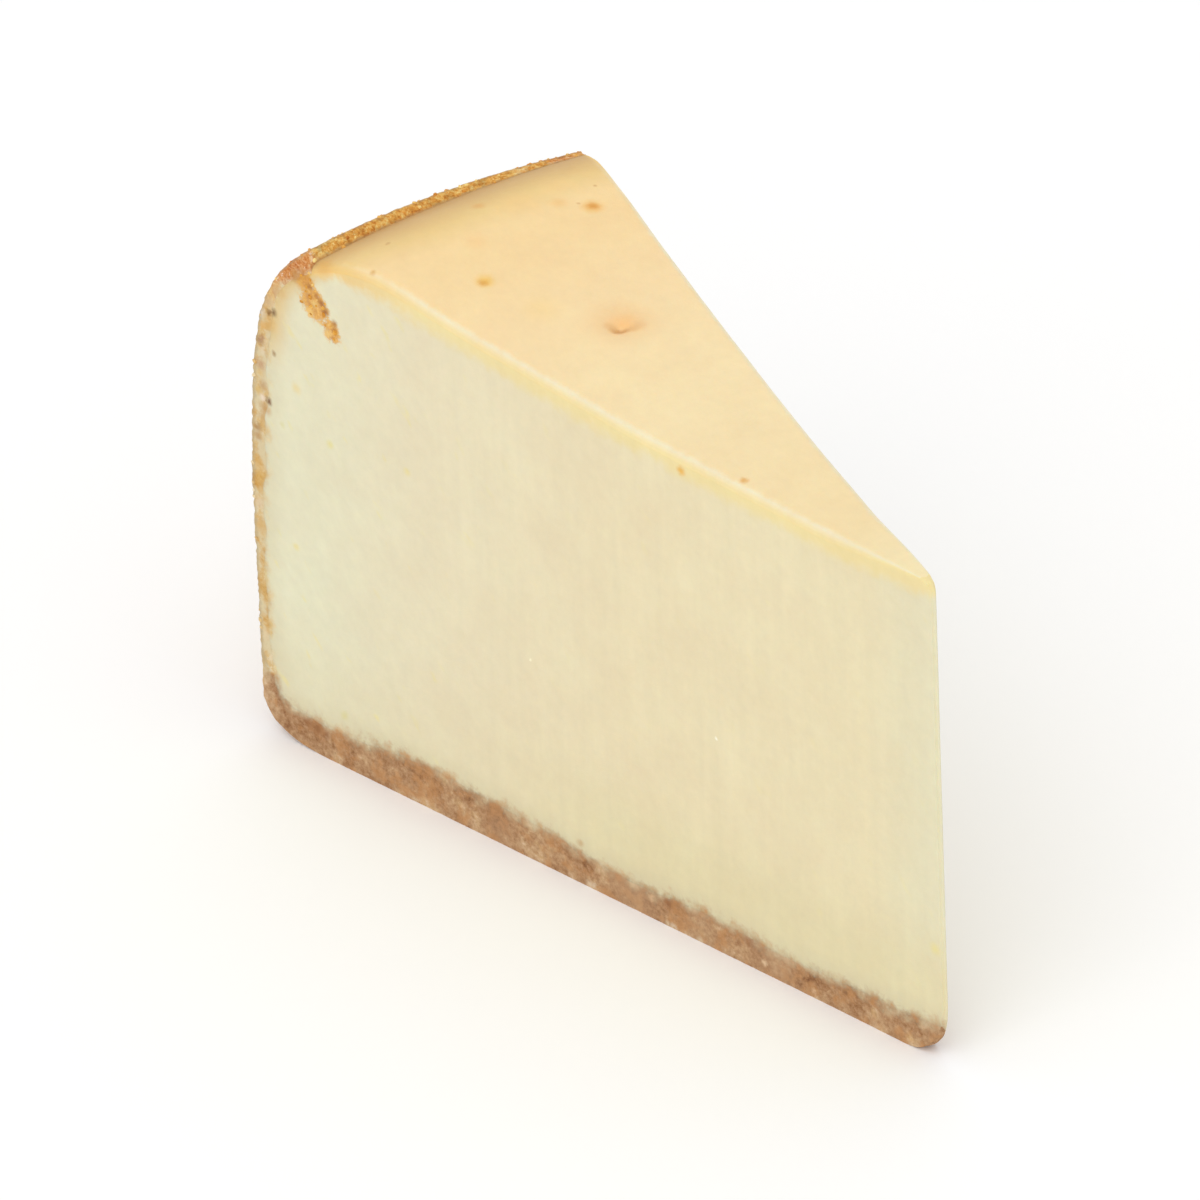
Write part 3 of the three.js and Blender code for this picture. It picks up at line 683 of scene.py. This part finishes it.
def cream_material():
    """Baked cream cheese, cut with a wet knife: pale and close, with a faint damp gloss, and
    light that goes a little way in, so that its edges glow."""
    material, tree, shader = new_material(
        "baked cream cheese, knife cut", Roughness=0.5, IOR=1.4, Specular_IOR_Level=0.4,
        Subsurface_Weight=0.25, Subsurface_Radius=(1.0, 0.7, 0.4), Subsurface_Scale=1.5 * MM)
    place = add(tree, "Attribute", attribute_name="place").outputs["Vector"]
    ground = add(tree, "Attribute", attribute_name="ground").outputs["Color"]
    under_top, off_crust, stain, edge, slanting = (
        add(tree, "Attribute", attribute_name=name).outputs["Fac"]
        for name in ("under_top", "off_crust", "stain", "edge", "slanting"))
    cut = add(tree, "Math", {0: under_top, 1: 0.02}, operation="GREATER_THAN")

    # cloudy mottling 9 mm across, 1.5 mm curds, and the knife's strokes: upright ones
    # 2 mm wide and 24 mm long, and by the crust slanting ones 1.8 mm by 4.5 mm
    cloud = add(tree, "TexNoise", {"Vector": place, "Scale": 1 / 9, "Detail": 3.0, "Roughness": 0.6})
    curd = add(tree, "TexNoise", {"Vector": place, "Scale": 1 / 1.5, "Detail": 4.0, "Roughness": 0.7})
    upright = add(tree, "Mapping", {"Vector": place, "Scale": (1 / 2, 1 / 2, 1 / 24)})
    slanted = add(tree, "VectorRotate", {"Vector": place, "Angle": -DRAG_SLANT}, rotation_type="Y_AXIS")
    slanted = add(tree, "Mapping", {"Vector": slanted, "Scale": (1 / 1.8, 1 / 1.8, 1 / 4.5)})
    strokes, drags = (add(tree, "TexNoise", {"Vector": along, "Scale": 1.0, "Detail": 3.0})
                      for along in (upright, slanted))
    # crumbs carried over the cut lie in grains of 0.8 mm. It is the cheese's open grain too,
    # drawn a little coarser than real.
    grain = add(tree, "TexNoise", {"Vector": place, "Scale": 1 / 0.8, "Detail": 5.0, "Roughness": 0.75})
    cloudy, curdy, stroked, dragged, grainy = (
        add(tree, "MapRange", {0: source, 1: 0.3, 2: 0.7, 3: -0.5, 4: 0.5})
        for source in (cloud, curd, strokes, drags, grain))
    knife = add(tree, "Mix", {0: slanting, 2: stroked, 3: dragged}, data_type="FLOAT")
    firm = add(tree, "MapRange", {0: cloud, 1: 0.35, 2: 0.6, 3: 0.3, 4: 1.2})
    knife = held_to(tree, knife, cut, firm)

    # the skin: a yellow band under the top, its lower side ragged by a millimetre
    ragged = shifted(tree, under_top, ((curdy, 1.0), (knife, 0.8), (cloudy, 0.9)))
    band = add(tree, "MapRange", {0: ragged, 1: 0.6, 2: 2.7, 3: 0.8, 4: 0.0}, **GENTLY)
    lip = add(tree, "MapRange", {0: edge, 1: 0.6, 2: 1.0, 3: 0.0, 4: 0.8})
    band = add(tree, "Math", {0: held_to(tree, band, cut), 1: lip}, operation="MAXIMUM")
    from_middle = add(tree, "SeparateXYZ", {0: place}).outputs["X"]
    by_rim = add(tree, "MapRange", {0: from_middle, 1: 84.0, 2: 99.0, 3: 0.0, 4: 1.0})
    banded = laid_over(tree, linear(BAND), [(by_rim, linear(BAND_BY_RIM))])
    # the ridge between top and cut, partly worn pale and partly a painted highlight on its rounded edge, but
    # not by the rim
    worn = shifted(tree, edge, [(curdy, 0.3)])
    ridge = add(tree, "MapRange", {0: worn, 1: 0.1, 2: 0.75, 3: 0.0, 4: 0.9}, **GENTLY)
    below = add(tree, "MapRange", {0: edge, 1: 0.6, 2: 1.0, 3: 1.0, 4: 0.0})
    uncut, off_rim = (add(tree, "Math", {0: 1.0, 1: share}, operation="SUBTRACT") for share in (cut, by_rim))
    ridge = held_to(tree, ridge, below, uncut, off_rim)
    # yellower curds here and there, most of them by the crust
    curds = add(tree, "TexNoise", {"Vector": slanted, "Scale": 1.1, "Detail": 2.0})
    yellow = add(tree, "MapRange", {0: curds, 1: 0.66, 2: 0.78, 3: 0.0, 4: 0.6})
    common = add(tree, "MapRange", {0: slanting, 1: 0.0, 2: 1.0, 3: 0.3, 4: 1.0})
    # crumb dragged up into the cuts, and crumbs carried over them, in tones of their own
    crumb, golden, dust, _, smears = crumb_colour(tree, place, 0.5, 0.0)
    crumbed = crumb_share(tree, off_crust, golden, dust, smears)
    smeared = shifted(tree, stain, [(grainy, 0.9)])
    smear = add(tree, "MapRange", {0: smeared, 1: 0.2, 2: 0.75, 3: 0.0, 4: 0.9}, **GENTLY)
    there = add(tree, "MapRange", {0: stain, 1: 0.0, 2: 0.25, 3: 0.0, 4: 1.0})
    carried = crumb_tones(tree, shifted(tree, 0.5, [(grainy, 0.9)]), CARRIED_COLOURS)
    colour = laid_over(tree, ground, (
        (band, banded), (ridge, linear(WORN_RIDGE_AND_HIGHLIGHT)), (held_to(tree, yellow, cut, common), linear(CURD)),
        (held_to(tree, crumbed, cut), crumb), (held_to(tree, smear, there), carried)))

    # the spots, their outlines ragged by the curds
    jagged = ragged_place(tree, place, curd, 0.9)
    colour = marked(tree, colour, jagged, on_top, TOP_MARKS)
    colour = marked(tree, colour, jagged, on_cut, CUT_MARKS + JOIN_MARKS)
    # the hue wanders a little, from peach to straw, and so does the tone
    hue = laid_over(tree, linear(PEACH), [(cloud, linear(STRAW))])
    colour = add(tree, "Mix", {0: 1.0, FROM: colour, TO: hue}, data_type="RGBA", blend_type="MULTIPLY")
    tone = shifted(tree, 1.0, ((cloudy, 0.05), (curdy, 0.04), (knife, 0.04)))
    tinted = add(tree, "HueSaturation", {"Value": tone, "Color": colour.outputs[MIXED]})
    surface(tree, shader, tinted.outputs["Color"], grain, 0.6, 0.12)
    return material


# The crust's crumbs, in millimetres
CRUMB_SIZE, CRUMB_HEIGHT = 0.9, 0.24


def crust_material():
    """Plain biscuit crushed with butter and baked: dull, dry crumbs in browns and golds,
    darker and closer where they are packed under the filling."""
    material, tree, shader = new_material(
        "biscuit crumb, pressed and baked", Roughness=0.85, Specular_IOR_Level=0.25)
    place, rest = (
        add(tree, "Attribute", attribute_name=name).outputs["Vector"] for name in ("place", "rest"))
    toasted, rusty, cut, bared, off_filling = (
        add(tree, "Attribute", attribute_name=name).outputs["Fac"]
        for name in ("toasted", "rusty", "cut", "bared", "off_filling"))
    cells = add(tree, "TexVoronoi", {"Vector": rest, "Scale": 1 / (CRUMB_SIZE * MM)})
    cell = add(tree, "SeparateColor", {0: cells.outputs["Color"]}).outputs["Red"]
    colour, golden, dust, patches, smears = crumb_colour(tree, place, cell, off_filling)
    # at the rim, grit of 0.5 mm, redder by the cuts, with pale flecks in it
    grit = add(tree, "TexNoise", {"Vector": place, "Scale": 1 / 0.5, "Detail": 5.0, "Roughness": 0.8})
    tone = toned(tree, 0.56, ((cell, 0.12), (grit, 1.9), (dust, -1.2), (patches, 0.9)))
    uneven = shifted(tree, rusty, [(patches, 1.6)])
    reddened = add(tree, "MapRange", {0: uneven, 1: 1.0, 2: 1.5, 3: 0.0, 4: 0.85}, **GENTLY)
    fleck = add(tree, "MapRange", {0: dust, 1: 0.42, 2: 0.34, 3: 0.0, 4: 0.9})
    pale = laid_over(tree, linear(GOLDEN_FLECK), [(reddened, linear(ROSY_FLECK))])
    # on a cut, cream is mixed into the crumbs next to it, and up the wall smeared over more
    into_crust = add(tree, "Math", {0: off_filling, 1: -1.0}, operation="MULTIPLY")
    crumbed = crumb_share(tree, into_crust, golden, dust, smears)
    smeared = add(tree, "MapRange", {0: smears, 1: 0.42, 2: 0.58, 3: 0.8, 4: 0.0})
    untoasted, uncrumbed = (add(tree, "Math", {0: 1.0, 1: share}, operation="SUBTRACT")
                            for share in (toasted, crumbed))
    smeared = held_to(tree, smeared, golden, untoasted)
    creamy = add(tree, "Math", {0: smeared, 1: uncrumbed}, operation="MAXIMUM")
    creamy = held_to(tree, creamy, cut)
    colour = laid_over(tree, colour, (
        (toasted, crumb_tones(tree, tone, TOASTED_COLOURS)),
        (reddened, crumb_tones(tree, tone, RUSTY_COLOURS)),
        (held_to(tree, fleck, toasted), pale), (creamy, linear(CREAMY))))
    colour = marked(tree, colour, ragged_place(tree, place, dust, 1.4), on_cut, CRUST_MARKS + JOIN_MARKS)
    # painted shade: a thin dull line round cut and rim at the crust's outer edge, where it turns away from
    # the light; and on the rim's other side the browned top laps over it, in the top's darkest colour, which
    # is partly painted shade
    rim = add(tree, "Math", {0: bared, 1: cut}, operation="SUBTRACT")
    wandering = shifted(tree, off_filling, [(dust, 1.2)])
    outline_shade = add(tree, "MapRange", {0: wandering, 1: 2.1, 2: 2.5, 3: 0.0, 4: 0.6})
    lap = add(tree, "MapRange", {0: wandering, 1: 0.6, 2: 1.05, 3: 0.9, 4: 0.0})
    # painted shade in the pits between the crumbs, darker than they are, but not under cream
    pit_shade = add(tree, "MapRange", {0: grit, 1: 0.6, 2: 0.72, 3: 0.0, 4: 0.5})
    gap_shade = add(tree, "MapRange", {0: cells.outputs["Distance"], 1: 0.5, 2: 0.9, 3: 0.0, 4: 0.35})
    dark = add(tree, "Mix", {0: cut, 2: gap_shade, 3: pit_shade}, data_type="FLOAT")
    clear = add(tree, "MapRange", {0: creamy, 1: 0.0, 2: 0.5, 3: 1.0, 4: 0.0})
    colour = laid_over(tree, colour, (
        (held_to(tree, outline_shade, golden, bared), linear(OUTLINE_SHADE)),
        (held_to(tree, lap, golden, rim), linear(TOP_COLOURS[-1][1])),
        (held_to(tree, dark, clear), linear(GAP_SHADE))))
    surface(tree, shader, colour, grit, 0.8, 0.3)
    return material


def crumb_material(name, low_stops, stops):
    """Loose crumbs of the same biscuit, each of one tone: dull, and toasted more or less, those
    at the top of the slice the most."""
    material, tree, shader = new_material(name, Roughness=0.8, Specular_IOR_Level=0.3)
    tone = add(tree, "Attribute", attribute_name="tone").outputs["Fac"]
    at = add(tree, "TexCoord").outputs["Object"]
    # dust of 0.6 mm
    dust = add(tree, "TexNoise", {"Vector": at, "Scale": 1 / (0.6 * MM), "Detail": 4.0})
    dusty = add(tree, "MapRange", {0: dust, 1: 0.3, 2: 0.7, 3: -0.25, 4: 0.25})
    dusted = add(tree, "Math", {0: shifted(tree, dusty, [(tone, 0.6)]), 1: 0.3}, operation="ADD")
    height = add(tree, "SeparateXYZ", {0: at}).outputs["Z"]
    low, high = TOASTED_HEIGHTS
    toasted = add(tree, "MapRange", {0: height, 1: low * MM, 2: high * MM, 3: 0.0, 4: 1.0})
    colour = laid_over(tree, crumb_tones(tree, dusted, low_stops), [
        (toasted, crumb_tones(tree, dusted, stops))])
    surface(tree, shader, colour, dust, 0.8, 0.2)
    return material


def new_tree(name, numbers):
    """A Geometry Nodes tree with a geometry socket at each end, the named numbers and a
    material."""
    tree = bpy.data.node_groups.new(name, "GeometryNodeTree")
    tree.interface.new_socket("Geometry", in_out="INPUT", socket_type="NodeSocketGeometry")
    for key in numbers:
        tree.interface.new_socket(key, in_out="INPUT", socket_type="NodeSocketFloat")
    tree.interface.new_socket("Material", in_out="INPUT", socket_type="NodeSocketMaterial")
    tree.interface.new_socket("Geometry", in_out="OUTPUT", socket_type="NodeSocketGeometry")
    return tree, add(tree, "NodeGroupInput")


def coat(tree, start, geometry):
    """Ends a tree by giving what it made the material."""
    end = add(tree, "NodeGroupOutput")
    coated = add(tree, "GeometryNodeSetMaterial",
                 {"Geometry": geometry, "Material": start.outputs["Material"]})
    tree.links.new(coated.outputs[0], end.inputs["Geometry"])
    return tree


def made_by(tree, source, name, **values):
    """Runs a tree on a mesh object and gives what it makes as a plain mesh object."""
    modifier = source.modifiers.new(tree.name, "NODES")
    modifier.node_group = tree
    for item in tree.interface.items_tree:
        key = item.name.lower().replace(" ", "_")
        if item.in_out == "INPUT" and key in values:
            modifier[item.identifier] = values[key]
    graph = bpy.context.evaluated_depsgraph_get()
    mesh = bpy.data.meshes.new_from_object(source.evaluated_get(graph))
    source.modifiers.remove(modifier)
    mesh.name = name
    return new_object(name, mesh)


def raise_crumbs_tree():
    """Raises rounded crumbs from a fine surface, each a cell of the pattern that its material
    reads too, so that colour and relief agree."""
    tree, start = new_tree("Raise crumbs", ("Crumb size", "Crumb height"))
    rest = add(tree, "GeometryNodeInputPosition")
    kept = add(tree, "GeometryNodeStoreNamedAttribute",
               {"Geometry": start.outputs["Geometry"], "Name": "rest", "Value": rest},
               data_type="FLOAT_VECTOR", domain="POINT")
    per_metre = add(tree, "Math", {0: 1.0, 1: start.outputs["Crumb size"]}, operation="DIVIDE")
    cells = add(tree, "TexVoronoi", {"Vector": rest, "Scale": per_metre})
    # each crumb is a mound, some higher than others, about the old surface
    rounded = add(tree, "Math", {0: cells.outputs["Distance"], 1: 2.0}, operation="POWER")
    mound = add(tree, "Math", {0: 0.45, 1: rounded}, operation="SUBTRACT")
    parts = add(tree, "FunctionNodeSeparateColor", {0: cells.outputs["Color"]})
    uneven = shifted(tree, mound, [(parts.outputs["Green"], 0.7)])
    level = add(tree, "Math", {0: uneven, 1: 0.35}, operation="SUBTRACT")
    relief = add(tree, "GeometryNodeInputNamedAttribute", {"Name": "relief"}, data_type="FLOAT")
    height = held_to(tree, level, start.outputs["Crumb height"], relief)
    outwards = add(tree, "GeometryNodeInputNormal")
    push = add(tree, "VectorMath", {0: outwards, "Scale": height}, operation="SCALE")
    moved = add(tree, "GeometryNodeSetPosition", {"Geometry": kept, "Offset": push})
    return coat(tree, start, moved)


def scatter_crumbs_tree():
    """Scatters irregular crumbs over a surface, where one of its attributes says."""
    tree, start = new_tree("Scatter crumbs", ("Spacing", "Smallest", "Largest", "Sink", "Seed"))
    seed = start.outputs["Seed"]
    where = add(tree, "GeometryNodeInputNamedAttribute", {"Name": "sprinkle"}, data_type="FLOAT")
    squared = add(tree, "Math", {0: start.outputs["Spacing"], 1: 2.0}, operation="POWER")
    most = add(tree, "Math", {0: 1.0, 1: squared}, operation="DIVIDE")
    scattered = add(tree, "GeometryNodeDistributePointsOnFaces",
                    {"Mesh": start.outputs["Geometry"], "Distance Min": start.outputs["Spacing"],
                     "Density Max": most, "Density Factor": where, "Seed": seed}, distribute_method="POISSON")
    crumb = add(tree, "GeometryNodeMeshUVSphere", {"Radius": 0.5, "Segments": 6, "Rings": 4})
    size = add(tree, "FunctionNodeRandomValue", {2: start.outputs["Smallest"], 3: start.outputs["Largest"],
                                                 "Seed": seed}, data_type="FLOAT")
    turned = add(tree, "FunctionNodeRandomValue", {0: (0, 0, 0), 1: (6.3, 6.3, 6.3), "Seed": seed},
                 data_type="FLOAT_VECTOR")
    depth = add(tree, "VectorMath", {0: scattered.outputs["Normal"], "Scale": start.outputs["Sink"]},
                operation="SCALE")
    sunk = add(tree, "GeometryNodeSetPosition", {"Geometry": scattered.outputs["Points"], "Offset": depth})
    placed = add(tree, "GeometryNodeInstanceOnPoints", {"Points": sunk, "Instance": crumb.outputs["Mesh"],
                                                        "Rotation": turned, "Scale": size.outputs[1]})
    tone = add(tree, "FunctionNodeRandomValue", {2: 0.0, 3: 1.0, "Seed": 7}, data_type="FLOAT")
    tinted = add(tree, "GeometryNodeStoreNamedAttribute",
                 {"Geometry": placed, "Name": "tone", "Value": tone.outputs[1]},
                 data_type="FLOAT", domain="INSTANCE")
    real = add(tree, "GeometryNodeRealizeInstances", {0: tinted})
    # bent out of round by a noise of 0.5 mm
    at = add(tree, "GeometryNodeInputPosition")
    jag = add(tree, "TexNoise", {"Vector": at, "Scale": 1 / (0.5 * MM), "Detail": 2.0})
    centred = add(tree, "VectorMath", {0: jag.outputs["Color"], 1: (0.5, 0.5, 0.5)}, operation="SUBTRACT")
    push = add(tree, "VectorMath", {0: centred, "Scale": 0.5 * MM}, operation="SCALE")
    bent = add(tree, "GeometryNodeSetPosition", {"Geometry": real, "Offset": push})
    return coat(tree, start, add(tree, "GeometryNodeSetShadeSmooth", {"Geometry": bent}))


def keep_in_box(obj):
    """Presses a mesh's outermost crumbs back to the solids' box."""
    mesh = obj.data
    points = np.empty(len(mesh.vertices) * 3)
    mesh.vertices.foreach_get("co", points)
    low, high = (np.array(corner) for corner in cad_box)
    mesh.vertices.foreach_set("co", np.clip(points.reshape(-1, 3), low, high).ravel())
    mesh.update()


def with_material(obj, material):
    obj.data.materials.clear()
    obj.data.materials.append(material)


body = filling()
with_material(body, cream_material())
keep_in_box(body)
body.name = "baked_cream_body"
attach(body, "root")
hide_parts("cheese_filling")

fine = crust()
raise_crumbs = raise_crumbs_tree()
shell = made_by(raise_crumbs, fine, "crumb_crust_shell", crumb_size=CRUMB_SIZE * MM,
                crumb_height=CRUMB_HEIGHT * MM, material=crust_material())
keep_in_box(shell)
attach(shell, "root")
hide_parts("crumb_crust")

scatter_crumbs = scatter_crumbs_tree()
loose = crumb_material("biscuit crumb, loose and toasted", GOLDEN_COLOURS, TOASTED_COLOURS)
carried = crumb_material("biscuit crumb, carried by the knife", CARRIED_COLOURS, CARRIED_COLOURS)
# Loose crumbs in millimetres: the smallest and the largest, and how deep they sit. Then for
# each kind what it lies on, its name, its spacing, its seed and its material.
SMALLEST, LARGEST, SINK = 0.25, 0.75, -0.12
for source, name, spacing, seed, coating in ((shell, "wall_crumbs", 0.75, 3.0, loose),
                                             (body, "carried_crumbs", 0.7, 5.0, carried)):
    grains = made_by(scatter_crumbs, source, name, spacing=spacing * MM, smallest=SMALLEST * MM,
                     largest=LARGEST * MM, sink=SINK * MM, seed=seed, material=coating)
    keep_in_box(grains)
    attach(grains, "root")
bpy.data.objects.remove(fine)

# The photograph's camera: its turn, height and tilt in degrees, its distance, the point it
# looks at, its lens and its sensor in millimetres
AZIMUTH, ELEVATION, ROLL = (math.radians(a) for a in (55.734, 32.642, -2.301))
DISTANCE, LENS, SENSOR = 2286, 566.4, 36
TARGET = Vector((-4.854, -5.497, 37.045))

toward = Vector((math.sin(AZIMUTH) * math.cos(ELEVATION), -math.cos(AZIMUTH) * math.cos(ELEVATION),
                 math.sin(ELEVATION)))
level = Vector((math.cos(AZIMUTH), math.sin(AZIMUTH), 0))
upright = toward.cross(level)
right = math.cos(ROLL) * level + math.sin(ROLL) * upright
up = toward.cross(right)
camera = new_object("camera", bpy.data.cameras.new("camera"))
eye = (TARGET + DISTANCE * toward) * MM
camera.matrix_world = Matrix.Translation(eye) @ Matrix((right, up, toward)).transposed().to_4x4()
camera.data.lens = LENS
camera.data.sensor_width = SENSOR
camera.data.clip_end = 20
bpy.context.scene.camera = camera

# A wide matt table, near white, in metres from its middle to its sides
FLOOR = 6
floor_mesh = bpy.data.meshes.new("table")
floor_mesh.from_pydata([(-FLOOR, -FLOOR, 0), (FLOOR, -FLOOR, 0), (FLOOR, FLOOR, 0), (-FLOOR, FLOOR, 0)], [],
                       [(0, 1, 2, 3)])
floor = new_object("table", floor_mesh)
card, _, card_shader = new_material("matt white card", Roughness=0.9)
card_shader.inputs["Base Color"].default_value = linear("#FFFFFF")
with_material(floor, card)

# Even white light from all round, and two large soft lamps: place in metres, width in
# metres, power in watts
SKY_STRENGTH = 0.84
LAMPS = (("key", (0.45, -0.8, 1.1), 1.0, 4.6), ("fill", (-0.7, 0.5, 1.0), 1.2, 1.2))
world = bpy.context.scene.world or bpy.data.worlds.new("world")
bpy.context.scene.world = world
world.use_nodes = True
world.node_tree.nodes["Background"].inputs["Color"].default_value = (1, 1, 1, 1)
world.node_tree.nodes["Background"].inputs["Strength"].default_value = SKY_STRENGTH
bpy.context.scene.view_settings.view_transform = "Standard"
for name, at, width, power in LAMPS:
    lamp = new_object(name, bpy.data.lights.new(name, "AREA"))
    lamp.data.size = width
    lamp.data.energy = power
    lamp.matrix_world = Matrix.Translation(at) @ Vector(at).to_track_quat("Z", "Y").to_matrix().to_4x4()
